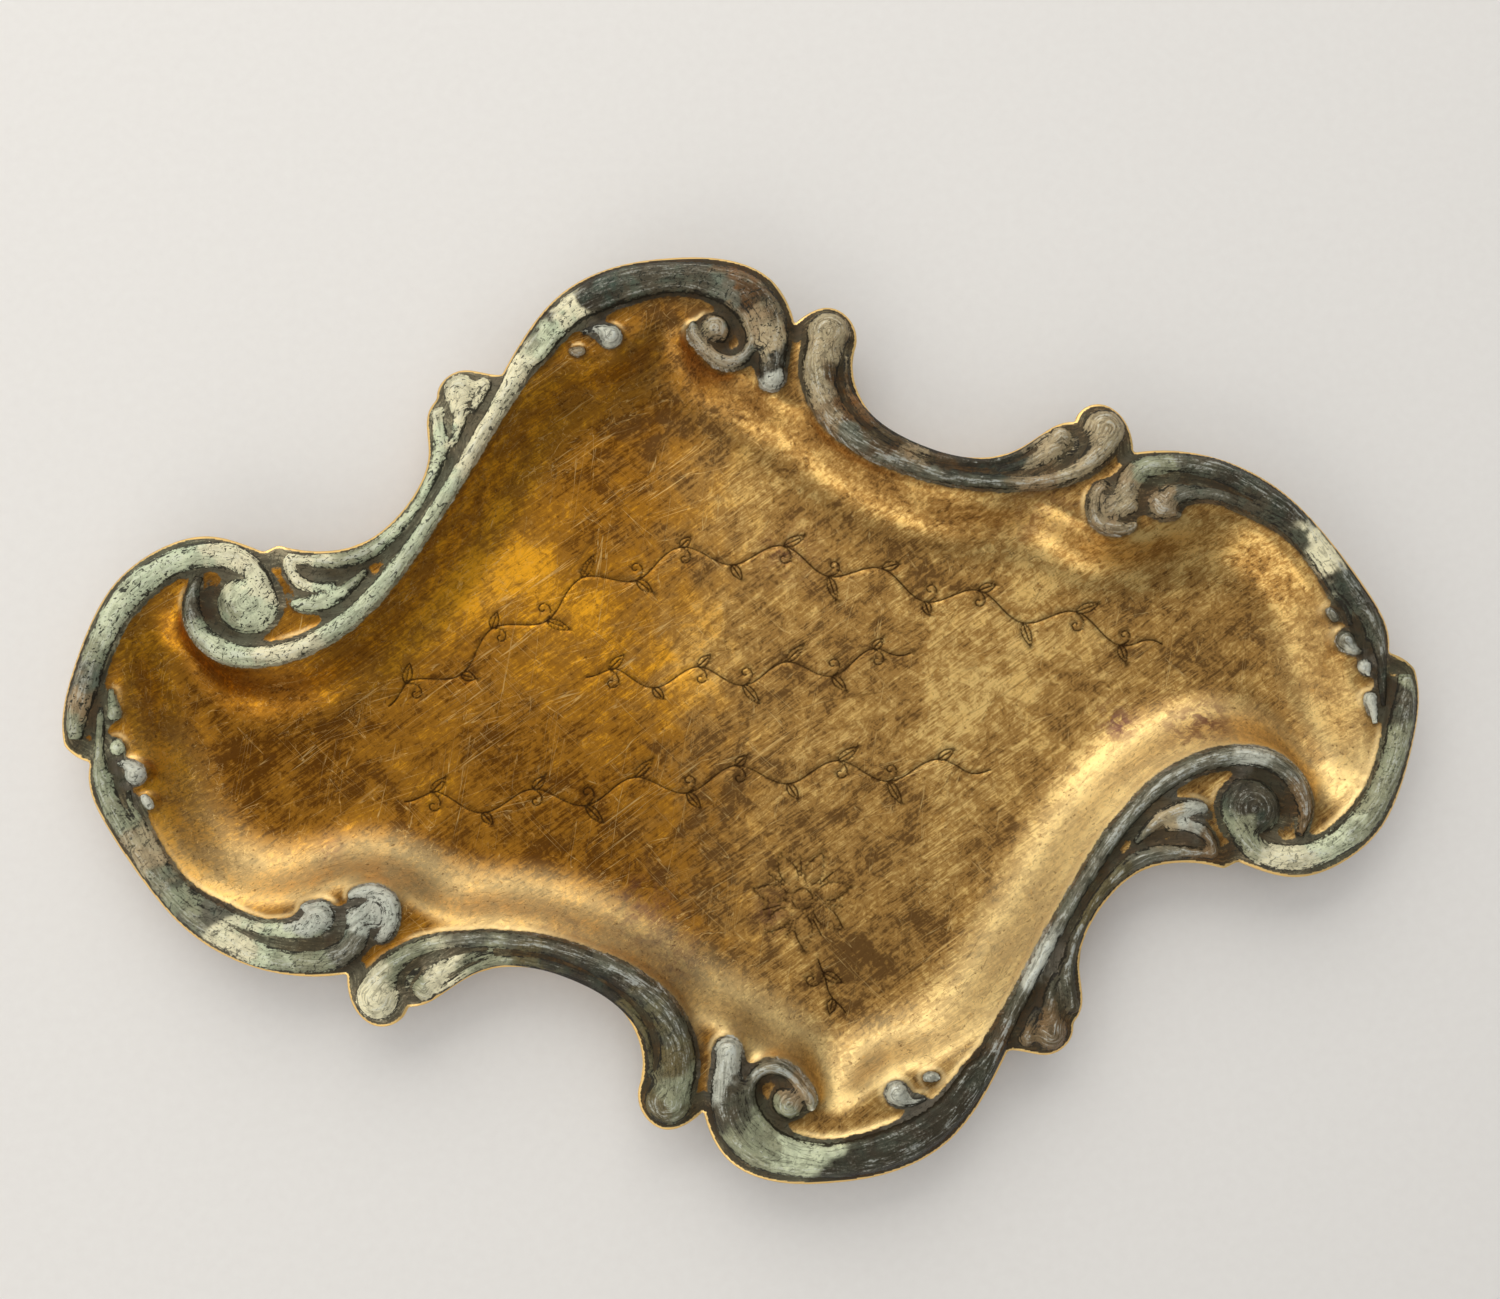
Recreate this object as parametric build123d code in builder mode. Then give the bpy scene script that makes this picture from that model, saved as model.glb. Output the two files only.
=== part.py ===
"""Rocaille card tray: a pressed brass tray with cast, patinated scroll mounts soldered to its flange.

Millimetres, +Z up.  The tray rests on Z = 0, its long axis is X, and the whole design repeats itself
after half a turn about Z.  So every mount is described once, for the half turn that starts at the left
tip, and its twin is the same body turned by 180 degrees.
"""

import math
import os

from build123d import *

# ---------------------------------------------------------------- driving dimensions
RIM_HEIGHT = 9.0        # top face of the flange, above the surface that the tray stands on
SHEET = 0.8             # thickness of the brass sheet
WALL_SHIFT = 0.85       # how far the outside of the sloping wall lies beyond its inside, in plan
BASE_CREST = 0.6        # height of the thinnest bar above the flange
CREST_PER_WIDTH = 0.65  # extra height for each millimetre of half width
TALLEST_CREST = 2.6     # no mount stands higher than this above the flange
FLOOR_CREST = 0.8       # height of the low web that joins the bars of one mount
LIP_CREST = 1.4         # height of the thin lip outside the channel of a C-scroll
RIDGE_CREST = 2.2       # height of the ridge that runs into the volute of an S-scroll
HOOK_CREST = 1.8        # height of the rounded lobe inside the hook of a crescent
END_SWELL = 1.06        # a rounded end is this much wider than the bar that it closes
TURNS = {"a": 0.0, "b": 180.0}
MOUTH, FOOT = 0, 1      # the two points of a station of the dish wall

rim_plane = Plane.XY.offset(RIM_HEIGHT)

# ---------------------------------------------------------------- tray outline, one half
# Each run is a smooth curve; runs meet in the corners that the border shows.  The first point of the
# first run, turned half round, is the last point of the last run.
TIP_NOTCH = (-105.9, -2.8)
TIP_CORNER = (-110.0, 0.2)
DISC_NOTCH = (-77.6, 29.7)
LEAF_CORNER = (-75.2, 30.7)
BUD_NOTCH = (-37.8, 57.2)
BEAD_NOTCH = (-48.6, 53.6)
VOLUTE_NOTCH = (11.2, 63.4)
BALL_NOTCH = (20.9, 58.3)
LOBE_NOTCH = (57.0, 44.3)
CRESCENT_NOTCH = (66.3, 38.6)

outline_runs = [
    [TIP_NOTCH, (-107.9, -1.9), TIP_CORNER],
    [TIP_CORNER, (-110.2, 4.6), (-108.6, 11.6), (-105.6, 19.4), (-102.0, 25.4), (-94.6, 31.0), (-86.4, 32.8),
     (-80.6, 31.1), DISC_NOTCH],
    [DISC_NOTCH, LEAF_CORNER],
    [LEAF_CORNER, (-67.4, 29.3), (-61.4, 30.4), (-56.0, 34.2), (-52.0, 39.4), (-50.3, 44.6), (-50.2, 51.2),
     BEAD_NOTCH],
    [BEAD_NOTCH, (-47.4, 56.8), (-44.4, 58.3), (-40.8, 57.7), BUD_NOTCH],
    [BUD_NOTCH, (-33.7, 63.7), (-27.2, 70.7), (-18.0, 74.8), (-8.0, 75.8), (1.4, 74.8), (7.6, 71.4),
     (10.5, 66.4), VOLUTE_NOTCH],
    [VOLUTE_NOTCH, (13.6, 65.1), (17.4, 65.9), (20.4, 63.8), (21.4, 61.0), BALL_NOTCH],
    [BALL_NOTCH, (20.4, 54.4), (21.6, 49.8), (25.6, 44.5), (31.2, 41.2), (38.4, 39.3), (45.0, 39.5), (50.8, 42.3),
     (54.0, 44.0), LOBE_NOTCH],
    [LOBE_NOTCH, (58.4, 46.4), (61.6, 47.1), (65.0, 44.6), (66.2, 41.4), CRESCENT_NOTCH],
    [CRESCENT_NOTCH, (74.4, 38.4), (83.4, 35.6), (91.6, 29.9), (98.4, 21.4), (104.0, 12.2), (106.1, 6.6),
     (-TIP_NOTCH[0], -TIP_NOTCH[1])],
]

# ---------------------------------------------------------------- wall of the dish, one half
# Each station pairs a point of the mouth, where the flange turns down, with the point of the wall's foot
# on the flat field that it slopes to.
dish_stations = [
    ((-98.6, 0.5), (-92.8, 1.8)), ((-99.6, 5.5), (-93.2, 6.2)), ((-100.4, 10.5), (-93.8, 10.2)),
    ((-99.8, 15.5), (-94.0, 13.2)), ((-97.4, 19.6), (-93.6, 15.4)), ((-94.8, 22.0), (-92.8, 16.2)),
    ((-92.6, 21.6), (-91.9, 15.2)), ((-91.2, 18.0), (-90.8, 12.2)), ((-88.4, 13.6), (-88.6, 8.6)),
    ((-83.6, 10.6), (-84.4, 5.4)), ((-77.4, 9.7), (-77.2, 3.9)), ((-71.0, 11.1), (-68.9, 5.3)),
    ((-65.0, 14.2), (-61.5, 8.8)), ((-59.5, 18.6), (-55.0, 13.8)), ((-54.6, 24.0), (-49.5, 19.8)),
    ((-50.2, 30.0), (-44.8, 26.2)), ((-46.0, 36.3), (-40.5, 32.7)), ((-41.8, 42.7), (-36.3, 39.0)),
    ((-37.6, 48.7), (-32.4, 44.6)), ((-33.2, 53.6), (-28.9, 48.8)), ((-28.4, 56.9), (-25.4, 51.5)),
    ((-23.8, 58.2), (-21.8, 53.0)), ((-19.2, 58.8), (-18.0, 54.2)), ((-15.6, 60.6), (-14.8, 55.8)),
    ((-12.9, 63.2), (-12.2, 57.6)), ((-10.2, 64.8), (-10.2, 58.2)), ((-7.8, 63.4), (-8.4, 57.0)),
    ((-6.6, 60.2), (-7.0, 54.4)), ((-3.6, 57.2), (-4.8, 51.8)), ((0.8, 55.4), (-1.4, 49.8)),
    ((4.0, 52.6), (1.6, 47.4)), ((7.4, 50.4), (4.8, 45.0)), ((11.4, 49.0), (8.0, 43.2)),
    ((15.2, 45.4), (11.4, 40.0)), ((19.6, 41.4), (15.6, 36.2)), ((25.0, 37.8), (21.7, 32.1)),
    ((31.2, 34.6), (28.7, 28.7)), ((38.0, 32.2), (36.6, 26.4)), ((45.2, 31.3), (44.2, 25.4)),
    ((51.4, 30.6), (50.0, 24.6)), ((55.6, 27.4), (54.4, 21.8)), ((60.2, 24.2), (59.8, 18.8)),
    ((65.6, 23.8), (65.8, 17.8)), ((71.2, 25.2), (71.8, 18.9)), ((77.4, 26.6), (77.2, 19.8)),
    ((83.2, 25.8), (81.6, 19.2)), ((88.0, 22.8), (84.8, 17.0)), ((91.8, 18.4), (87.2, 14.0)),
    ((94.8, 13.2), (89.4, 10.2)), ((96.4, 7.8), (90.8, 6.2)), ((97.4, 3.0), (91.8, 2.2)),
]

# ---------------------------------------------------------------- mounts, one half
# A bar is a list of stations along its middle: X, Y and half width.
s_stem = [
    (-87.8, 26.2, 0.8), (-89.0, 22.6, 1.4), (-88.2, 18.0, 1.8), (-85.2, 14.6, 1.9), (-80.6, 12.9, 1.8),
    (-75.4, 13.0, 1.7), (-70.4, 14.4, 1.6), (-65.6, 17.0, 1.6), (-61.2, 20.6, 1.55), (-56.9, 25.1, 1.45),
    (-52.9, 30.3, 1.4), (-49.1, 35.7, 1.35), (-45.4, 41.1, 1.35), (-41.8, 46.8, 1.4), (-38.3, 52.3, 1.6),
    (-34.4, 58.3, 2.0), (-29.6, 64.0, 2.5), (-24.1, 68.4, 2.9), (-17.4, 71.2, 3.0), (-10.0, 72.3, 2.7),
    (-3.0, 71.5, 3.0), (3.1, 68.6, 3.8), (6.4, 63.4, 3.7), (7.0, 58.4, 2.9), (6.8, 54.4, 2.2),
]
s_ridge = [
    (-33.0, 58.2, 0.5), (-27.9, 63.0, 0.8), (-22.2, 66.9, 0.9), (-15.6, 69.2, 1.0), (-8.8, 70.2, 1.0),
    (-3.0, 69.2, 1.1), (1.3, 66.4, 1.2), (3.7, 62.4, 1.3), (3.2, 58.8, 1.3), (0.4, 57.2, 1.3),
    (-2.9, 58.6, 1.3), (-5.1, 61.2, 1.1), (-5.8, 64.2, 0.7),
]
VOLUTE_BEAD = (-2.3, 62.8, 2.9)

leaf_arm = [
    (-73.6, 28.5, 0.9), (-69.4, 27.7, 1.2), (-64.8, 27.5, 1.5), (-60.4, 28.7, 1.5), (-57.0, 31.0, 1.3),
    (-54.2, 33.6, 1.2), (-50.7, 38.5, 1.15), (-48.7, 43.1, 1.3), (-48.2, 47.2, 1.3), (-48.5, 50.8, 1.25),
]
leaf_upper_lobe = [
    (-73.4, 28.8, 0.9), (-73.1, 26.4, 1.2), (-71.7, 24.3, 1.3), (-69.0, 23.3, 1.2), (-65.8, 23.6, 0.7),
]
leaf_lower_lobe = [
    (-73.2, 20.9, 0.7), (-71.0, 20.7, 1.4), (-68.0, 21.0, 1.7), (-65.2, 22.0, 1.5), (-62.8, 23.8, 1.1),
    (-60.9, 25.8, 0.6),
]
bud_tail = [(-44.9, 52.6, 2.0), (-45.0, 48.8, 1.1), (-46.2, 45.6, 0.5)]
bud_side = [(-40.9, 55.1, 1.7), (-41.8, 52.8, 1.3), (-43.0, 50.6, 0.6)]
bud_web = [(-47.8, 43.4, 0.9), (-46.9, 48.4, 1.7), (-46.2, 52.4, 2.2), (-43.4, 55.0, 1.8)]
BUD_BEAD = (-44.5, 54.6, 3.1)

c_body = [
    (16.6, 61.2, 3.9), (15.3, 57.0, 3.5), (14.9, 52.8, 3.0), (16.0, 48.9, 2.6), (18.7, 45.2, 2.3),
    (22.6, 42.0, 2.1), (27.6, 39.2, 1.8), (33.5, 36.6, 1.5), (40.0, 35.1, 1.4), (46.5, 34.4, 1.3),
    (52.5, 34.7, 1.3), (57.2, 36.4, 1.7), (60.3, 39.4, 2.7), (61.4, 42.4, 3.7),
]
c_inner_lobe = [(43.6, 36.9, 0.6), (48.2, 37.6, 1.2), (51.6, 39.2, 1.8), (54.0, 41.6, 1.9)]
c_rim = [
    (19.6, 57.6, 0.4), (19.2, 54.6, 0.6), (20.3, 49.6, 0.6), (24.2, 44.5, 0.6), (30.4, 40.6, 0.6),
    (38.2, 38.4, 0.6), (44.6, 38.6, 0.6), (49.4, 40.6, 0.6), (52.2, 42.4, 0.4),
]
c_web = [
    (16.8, 58.0, 3.0), (16.6, 53.4, 3.2), (18.1, 48.8, 3.2), (21.8, 44.4, 2.9), (26.8, 41.0, 2.6),
    (33.2, 38.4, 2.2), (39.6, 36.9, 2.1), (46.0, 36.6, 2.4), (51.6, 38.0, 2.6), (57.0, 40.0, 2.8),
    (60.6, 41.6, 2.4),
]

crescent_band = [
    (64.0, 29.7, 2.1), (64.6, 33.0, 2.3), (67.6, 35.6, 2.2), (72.4, 36.2, 1.9), (78.6, 35.0, 2.1),
    (84.8, 31.7, 2.2), (89.4, 28.4, 2.1), (93.1, 24.5, 2.0), (96.3, 20.1, 1.95), (99.3, 15.2, 1.9),
    (101.9, 10.6, 1.9), (103.5, 6.4, 1.7), (104.1, 2.0, 1.2), (104.0, -2.0, 0.9), (103.8, -6.0, 0.5),
]
crescent_hook = [
    (61.6, 33.6, 0.8), (58.9, 30.8, 1.2), (59.2, 27.7, 1.3), (62.2, 26.0, 1.2), (65.6, 26.5, 0.7),
]
crescent_ridge = [
    (70.2, 29.5, 2.6), (73.8, 31.0, 1.7), (78.4, 30.8, 1.1), (82.8, 29.6, 0.9), (86.6, 27.5, 0.8),
    (90.2, 24.5, 0.8), (93.2, 20.9, 0.75), (96.0, 16.4, 0.75), (98.6, 11.6, 0.7), (99.8, 7.6, 0.5),
]
crescent_spur = [(71.0, 28.0, 1.2), (73.2, 27.6, 0.5)]
HOOK_FILL = (61.9, 29.5, 3.2)
crescent_web = [
    (61.6, 30.4, 2.0), (64.8, 31.8, 3.4), (70.2, 33.0, 3.6), (77.2, 33.0, 3.0), (84.2, 30.2, 2.8),
    (90.8, 25.4, 2.1), (96.4, 18.2, 2.0), (100.8, 10.6, 1.9), (102.6, 5.0, 1.2),
]

tip_band = [
    (-107.9, 0.9, 1.1), (-107.4, 4.6, 2.1), (-106.2, 9.2, 2.4), (-104.6, 14.0, 2.3), (-102.4, 18.9, 2.3),
    (-99.4, 23.3, 2.5), (-95.0, 26.9, 2.4), (-89.8, 29.1, 2.3), (-84.6, 29.4, 2.4), (-80.2, 27.6, 2.3),
    (-77.8, 24.0, 2.0), (-77.5, 20.0, 1.7), (-79.2, 16.8, 1.1),
]
TIP_DISC = (-80.1, 21.3, 5.5)

shoulder_curl = [(-24.2, 63.6, 0.5), (-21.4, 64.0, 1.0), (-19.5, 62.6, 1.9)]
shoulder_seed = [(-26.6, 60.7, 0.4), (-25.1, 60.4, 0.9), (-23.8, 60.6, 0.5)]
tip_drop_long = [(-102.3, 8.8, 0.4), (-102.1, 6.4, 0.8), (-101.8, 4.6, 1.1)]
tip_drop_mid = [(-101.9, 1.0, 0.4), (-101.4, -0.8, 1.2)]
tip_drop_curl = [(-101.4, -3.2, 0.5), (-99.8, -3.6, 1.0), (-98.7, -5.2, 1.6)]
tip_drop_seed = [(-97.6, -8.4, 0.4), (-96.9, -9.7, 0.8), (-96.2, -10.8, 0.4)]


# ---------------------------------------------------------------- shape helpers
def turned(points):
    """The same points after half a turn about Z."""
    return [(-point[0], -point[1], *point[2:]) for point in points]


def crest_of(half_width):
    """Height of a bar of that half width above the flange."""
    return min(TALLEST_CREST, BASE_CREST + CREST_PER_WIDTH * half_width)


def bar(stations, crest=None):
    """A tapered bar along its stations, half an ellipse in section, flat where it meets the flange."""
    sections = []
    for index, (x, y, half_width) in enumerate(stations):
        before = stations[max(index - 1, 0)]
        after = stations[min(index + 1, len(stations) - 1)]
        along = Vector(after[0] - before[0], after[1] - before[1], 0).normalized()
        across = Vector(-along.Y, along.X, 0)
        height = crest or crest_of(half_width)
        with BuildSketch(Plane((x, y, RIM_HEIGHT), x_dir=across, z_dir=along)) as section:
            Ellipse(half_width, height)
        sections.append(section.sketch)
    with BuildPart() as body:
        loft(sections)
        split(bisect_by=rim_plane, keep=Keep.TOP)
    return body.part


def bead(x, y, radius, crest=None):
    """A rounded bead: the cap of a ball, flat where it meets the flange."""
    height = crest or crest_of(radius)
    ball_radius = (radius**2 + height**2) / (2 * height)
    with BuildPart(Plane((x, y, RIM_HEIGHT + height - ball_radius))) as body:
        Sphere(ball_radius)
        split(bisect_by=rim_plane, keep=Keep.TOP)
    return body.part


def end_bead(station):
    """The rounded end of a bar, at one of its stations."""
    x, y, half_width = station
    return bead(x, y, half_width * END_SWELL)


def inward_normals(points):
    """Unit vectors that point into the dish, for a clockwise ring of points."""
    normals = []
    for index in range(len(points)):
        before = points[index - 1]
        after = points[(index + 1) % len(points)]
        dx, dy = after[0] - before[0], after[1] - before[1]
        length = math.hypot(dx, dy)
        normals.append((dy / length, -dx / length))
    return normals


def dish_ring(which, height, shift):
    """One closed level of the dish wall, as a sketch: which is 0 for the mouth and 1 for the foot.

    shift moves the ring outwards, away from the middle of the dish.
    """
    half_ring = [station[which] for station in dish_stations]
    ring = half_ring + turned(half_ring)
    points = [(x - nx * shift, y - ny * shift) for (x, y), (nx, ny) in zip(ring, inward_normals(ring))]
    with BuildSketch(Plane.XY.offset(height)) as level:
        with BuildLine():
            Spline(*points, periodic=True)
        make_face()
    return level.sketch


# ---------------------------------------------------------------- tray
with BuildPart() as tray:
    with BuildSketch(rim_plane):
        with BuildLine():
            for run in outline_runs + [turned(run) for run in outline_runs]:
                if len(run) == 2:
                    Line(*run)
                else:
                    Spline(*run)
        make_face()
    extrude(amount=-SHEET)
    loft([dish_ring(MOUTH, RIM_HEIGHT - SHEET / 2, WALL_SHIFT), dish_ring(FOOT, 0, WALL_SHIFT)])
    loft([dish_ring(MOUTH, RIM_HEIGHT, 0), dish_ring(FOOT, SHEET, 0)], mode=Mode.SUBTRACT)

# ---------------------------------------------------------------- mounts of the first half
# Each mount is its bars and beads, fused one after the other into a single casting.
mount_pieces = {
    "s_scroll": [
        bar(s_stem),
        end_bead(s_stem[-1]),
        bar(s_ridge, crest=RIDGE_CREST),
        bead(*VOLUTE_BEAD),
    ],
    "leaf_branch": [
        bar(leaf_arm),
        end_bead(leaf_arm[-1]),
        bar(leaf_upper_lobe),
        bar(leaf_lower_lobe),
        bar(bud_web, crest=FLOOR_CREST),
        bar(bud_tail),
        bar(bud_side),
        end_bead(bud_side[0]),
        bead(*BUD_BEAD),
    ],
    "c_scroll": [
        bar(c_web, crest=FLOOR_CREST),
        bar(c_rim, crest=LIP_CREST),
        bar(c_body),
        end_bead(c_body[0]),
        end_bead(c_body[-1]),
        bar(c_inner_lobe),
        end_bead(c_inner_lobe[-1]),
    ],
    "crescent_scroll": [
        bar(crescent_web, crest=FLOOR_CREST),
        bar(crescent_band),
        end_bead(crescent_band[0]),
        bar(crescent_ridge),
        end_bead(crescent_ridge[0]),
        bar(crescent_hook),
        bar(crescent_spur),
        bead(*HOOK_FILL, crest=HOOK_CREST),
    ],
    "tip_scroll": [
        bar(tip_band),
        bead(*TIP_DISC),
    ],
    "shoulder_drops": [
        bar(shoulder_curl),
        end_bead(shoulder_curl[-1]),
        bar(shoulder_seed),
    ],
    "tip_drops": [
        bar(tip_drop_long),
        end_bead(tip_drop_long[-1]),
        bar(tip_drop_mid),
        end_bead(tip_drop_mid[-1]),
        bar(tip_drop_curl),
        end_bead(tip_drop_curl[-1]),
        bar(tip_drop_seed),
    ],
}

# ---------------------------------------------------------------- files, with both halves of the border
os.makedirs("parts", exist_ok=True)
tray.part.label = "tray"
export_step(tray.part, "parts/tray.step")
for mount_name, pieces in mount_pieces.items():
    for half, angle in TURNS.items():
        with BuildPart() as mount:
            for piece in pieces:
                add(piece, rotation=(0, 0, angle), clean=False)
        mount.part.label = f"{mount_name}_{half}"
        export_step(mount.part, f"parts/{mount_name}_{half}.step")
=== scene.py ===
"""Looks of the rocaille card tray: an old brass tray with patinated scroll castings round its flange.

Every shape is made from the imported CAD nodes: their outlines, their places and their heights.  All lengths
are in metres; MM turns a length in millimetres into one.
"""

import math

import bpy
import numpy as np
from mathutils import Matrix, Vector, noise
from mathutils.bvhtree import BVHTree
from mathutils.geometry import delaunay_2d_cdt
from mathutils.kdtree import KDTree


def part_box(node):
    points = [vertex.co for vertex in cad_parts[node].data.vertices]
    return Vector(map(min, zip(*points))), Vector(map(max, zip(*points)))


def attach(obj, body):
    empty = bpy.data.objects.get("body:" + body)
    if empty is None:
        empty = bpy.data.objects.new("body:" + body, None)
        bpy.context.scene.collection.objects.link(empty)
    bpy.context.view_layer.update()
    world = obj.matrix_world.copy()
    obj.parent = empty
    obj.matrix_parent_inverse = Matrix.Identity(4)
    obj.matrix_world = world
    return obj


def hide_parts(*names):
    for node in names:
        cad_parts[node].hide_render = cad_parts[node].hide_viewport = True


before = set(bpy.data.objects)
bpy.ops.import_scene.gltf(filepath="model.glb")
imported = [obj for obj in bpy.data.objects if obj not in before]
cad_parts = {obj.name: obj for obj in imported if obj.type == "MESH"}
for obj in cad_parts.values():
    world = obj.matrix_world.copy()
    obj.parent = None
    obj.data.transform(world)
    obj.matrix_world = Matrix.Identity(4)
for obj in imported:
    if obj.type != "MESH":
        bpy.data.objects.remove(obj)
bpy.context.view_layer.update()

MM = 0.001
CELL = 0.4 * MM                                  # step of the height maps
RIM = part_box("s_scroll_a")[0].z                  # top of the flange, where the castings sit
CASTINGS = sorted(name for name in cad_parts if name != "tray")


# ---------------------------------------------------------------- colours
def srgb(red, green, blue):
    """A colour given as 0-255 display values, as the linear colour that the shaders use."""
    levels = [value / 255 for value in (red, green, blue)]
    return tuple(v / 12.92 if v < 0.04045 else ((v + 0.055) / 1.055) ** 2.4 for v in levels) + (1.0,)


MINT = srgb(216, 221, 182)
CREAM = srgb(246, 236, 194)
SILVER = srgb(200, 200, 182)
STONE = srgb(180, 160, 122)
SAGE = srgb(152, 152, 120)
SAND = srgb(156, 132, 96)
TAN = srgb(122, 96, 62)
PEWTER = srgb(106, 102, 84)
LEAD = srgb(80, 72, 54)
OLIVE = srgb(102, 90, 56)
CHARCOAL = srgb(54, 46, 32)
UMBER = srgb(88, 60, 26)
RUST = srgb(124, 82, 38)

DARK_PATINA = srgb(58, 56, 42)
PALE_PATINA = srgb(226, 220, 194)
VERDIGRIS = srgb(96, 150, 132)
GLINT = srgb(216, 222, 214)
CREVICE = srgb(34, 29, 18)
PIT = srgb(34, 36, 26)

KHAKI, AMBER = srgb(164, 124, 66), srgb(154, 104, 32)
DARK_KHAKI, DARK_AMBER = srgb(108, 78, 42), srgb(98, 60, 16)
BRIGHT_KHAKI, BRIGHT_AMBER = srgb(224, 188, 116), srgb(236, 166, 40)
SLOPE_HIGHLIGHT = srgb(238, 218, 160)
FRECKLE = srgb(84, 52, 24)
FLECK = srgb(214, 164, 84)
STAIN = srgb(112, 72, 66)
DULL_SCRATCH = srgb(84, 56, 24)
BRIGHT_SCRATCH = srgb(240, 204, 132)
SHADED_BRASS = srgb(98, 68, 32)
HIGHLIGHT_BRASS = srgb(240, 212, 152)
TRIMMED_EDGE = srgb(244, 206, 132)
DIRT_AND_SHADE = srgb(44, 36, 24)
GROOVE_DIRT = srgb(44, 28, 12)

# Where each casting has which patina: X and Y in millimetres, and the colour.
PATCHES = {
    "tip_scroll_a": [(-108, 2, SAGE), (-106, 6, SAND), (-106, 12, PEWTER), (-103, 14, SAGE),
                     (-101, 19, MINT), (-96, 26, MINT), (-89, 29, MINT), (-83, 29, CREAM), (-77, 23, CREAM),
                     (-79, 21, MINT), (-83, 19, SAGE)],
    "tip_scroll_b": [(108, -2, SAGE), (106, -5, LEAD), (104, -13, SAGE), (99, -22, SAGE), (93, -27, MINT),
                     (84, -30, CREAM), (78, -25, SAGE), (80, -21, CHARCOAL), (83, -19, LEAD)],
    "s_scroll_a": [(-89, 22, LEAD), (-88, 18, SAGE), (-83, 14, MINT), (-75, 13, CREAM), (-62, 20, MINT),
                   (-50, 35, MINT), (-42, 47, CREAM), (-35, 57, CREAM), (-31, 66, LEAD), (-28, 63, MINT),
                   (-26, 67, CREAM), (-22, 70, CHARCOAL), (-13, 73, LEAD), (-10, 70, LEAD), (-4, 74, LEAD),
                   (3, 71, RUST), (8, 66, TAN), (5, 64, SAND), (8, 60, STONE), (4, 69, UMBER),
                   (7, 56.4, CHARCOAL), (7, 54, SILVER), (-2, 63, SAND), (0, 68, PEWTER)],
    "s_scroll_b": [(88, -20, TAN), (86, -15, PEWTER), (80, -12, SILVER), (75, -13, PEWTER), (60, -23, PEWTER),
                   (51, -34, PEWTER), (46, -44, SILVER), (40, -52, LEAD), (40, -57, UMBER),
                   (33, -61, CHARCOAL), (24, -70, CHARCOAL), (12, -73, CHARCOAL), (4, -69, MINT),
                   (-3, -68, SAGE), (-6, -62, LEAD), (-8, -57, SILVER), (0, -64, SAGE), (3, -60, SAND),
                   (3, -57, PEWTER)],
    "leaf_branch_a": [(-46, 51, CREAM), (-73, 27, CREAM), (-68, 21, MINT), (-62, 27, SAGE), (-55, 33, MINT),
                      (-49, 44, MINT), (-44, 54, CREAM), (-43, 50, CREAM)],
    "leaf_branch_b": [(73, -27, TAN), (70, -21, SILVER), (66, -22, STONE), (62, -27, PEWTER),
                      (55, -33, OLIVE), (49, -44, LEAD), (44, -54, TAN), (43, -50, LEAD)],
    "c_scroll_a": [(16, 61, STONE), (14, 57, STONE), (13.5, 52, STONE), (15, 47, SAND), (18.5, 42.5, PEWTER),
                   (25, 38, PEWTER), (32, 35, PEWTER), (40, 33.5, LEAD), (20, 53, UMBER), (20.5, 47.5, RUST),
                   (24, 44, UMBER), (26, 42.5, UMBER), (29.5, 41, SAND), (32, 39.5, UMBER),
                   (38, 37.5, CHARCOAL), (44, 38, CHARCOAL), (49, 34, SAND), (50, 37, STONE), (56, 37, STONE),
                   (54, 41, STONE), (61, 43, STONE)],
    "c_scroll_b": [(-61, -43, CREAM), (-56, -37, SAGE), (-51, -39, CREAM), (-46, -34, PEWTER),
                   (-38, -33.5, PEWTER), (-31, -35.5, LEAD), (-44, -37, SAGE), (-37, -37, OLIVE),
                   (-30, -41, CHARCOAL), (-25, -38, PEWTER), (-25, -43, CHARCOAL), (-18.5, -42.5, LEAD),
                   (-20, -47, OLIVE), (-14, -50, LEAD), (-16, -54, OLIVE), (-15, -60, SAGE),
                   (-18, -62, OLIVE)],
    "crescent_scroll_a": [(60, 29, SAND), (64, 31, STONE), (63, 34, SAND), (70, 30, SAND), (70, 36, SAGE),
                          (77, 35, LEAD), (76, 31, PEWTER), (84, 33, CHARCOAL), (85, 28, LEAD),
                          (91, 27, CHARCOAL), (95.5, 22, CREAM), (98, 19, CREAM), (92, 22, LEAD),
                          (100, 14, CHARCOAL), (103, 6, LEAD), (104, -3, CHARCOAL)],
    "crescent_scroll_b": [(-62, -29, SILVER), (-66, -34, PEWTER), (-71, -29, SILVER), (-72, -36, SAGE),
                          (-78, -33, MINT), (-84, -32, CREAM), (-91, -25, SAGE), (-97, -18, STONE),
                          (-101, -10, SAGE), (-104, -3, SAGE), (-87, -27, PEWTER), (-90, -21, LEAD)],
    "shoulder_drops_a": [(-20, 63, SILVER), (-26, 60, SAND)],
    "shoulder_drops_b": [(20, -63, SILVER), (26, -60, SILVER)],
    "tip_drops_a": [(-102, 7, SAGE), (-101, 0, MINT), (-99, -5, SILVER)],
    "tip_drops_b": [(101, -5, SILVER), (101, 1, SILVER), (99, 5, PEWTER)],
}
# How thickly the pale, pitted crust covers each casting, from 0 (bare metal) to 1.
CRUST = {
    "tip_scroll_a": 1.0, "tip_scroll_b": 0.6, "s_scroll_a": 0.9, "s_scroll_b": 0.35, "leaf_branch_a": 0.95,
    "leaf_branch_b": 0.3, "c_scroll_a": 0.5, "c_scroll_b": 0.45, "crescent_scroll_a": 0.55,
    "crescent_scroll_b": 0.75, "shoulder_drops_a": 0.5, "shoulder_drops_b": 0.3, "tip_drops_a": 0.7,
    "tip_drops_b": 0.3,
}
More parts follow.
